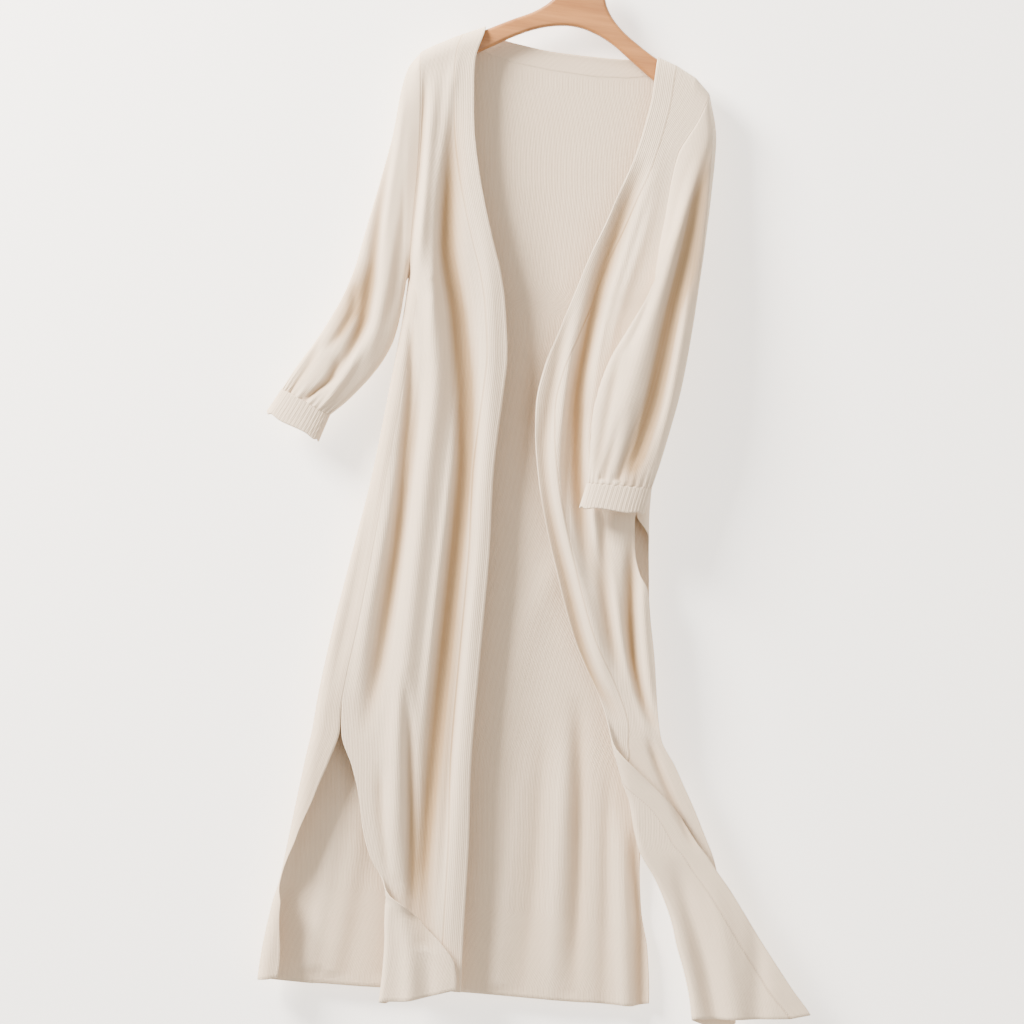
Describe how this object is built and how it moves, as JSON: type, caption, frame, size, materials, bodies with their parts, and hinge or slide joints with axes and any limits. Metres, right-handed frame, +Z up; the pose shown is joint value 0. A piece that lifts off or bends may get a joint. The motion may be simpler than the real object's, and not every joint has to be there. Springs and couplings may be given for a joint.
{
  "type": "duster cardigan on a hanger",
  "caption": "Long open knit cardigan with banded front edges, long cuffed sleeves and split sides, on a wooden hanger with a steel hook.",
  "frame": {"origin": "the inside of the crown of the hanger's hook, where a rail or a wall peg carries it", "axes": "+Z up; -Y towards the wearer's front, the side the picture shows; +X towards the viewer's right, which is the wearer's left"},
  "size_m": [0.7563, 0.0715, 1.3386],
  "materials": {
    "back_panel": "matte, fine plain knit, cream, with faint upright wales",
    "front_panel_wearers_right": "matte, fine plain knit, cream, with faint upright wales",
    "front_panel_wearers_left": "matte, fine plain knit, cream, with faint upright wales",
    "front_band_wearers_right": "matte, fine knit band, cream, its wales along the edge",
    "front_band_wearers_left": "matte, fine knit band, cream, its wales along the edge",
    "neck_band_back": "matte, fine knit band, cream, its wales along the edge",
    "sleeve_wearers_right": "matte, fine plain knit, cream, with faint wales along the sleeve",
    "sleeve_wearers_left": "matte, fine plain knit, cream, with faint wales along the sleeve",
    "cuff_wearers_right": "matte, fine rib knit, cream",
    "cuff_wearers_left": "matte, fine rib knit, cream",
    "hanger_wood": "satin lacquer, honey-brown straight grain along the arms",
    "hanger_hook": "polished"
  },
  "bodies": {
    "root": {"back_panel": "back_panel", "front_panel_wearers_right": "front_panel_wearers_right", "front_panel_wearers_left": "front_panel_wearers_left", "front_band_wearers_right": "front_band_wearers_right", "front_band_wearers_left": "front_band_wearers_left", "neck_band_back": "neck_band_back", "sleeve_wearers_right": "sleeve_wearers_right", "sleeve_wearers_left": "sleeve_wearers_left", "cuff_wearers_right": "cuff_wearers_right", "cuff_wearers_left": "cuff_wearers_left", "hanger_wood": "hanger_wood", "hanger_hook": "hanger_hook"}
  },
  "joints": []
}
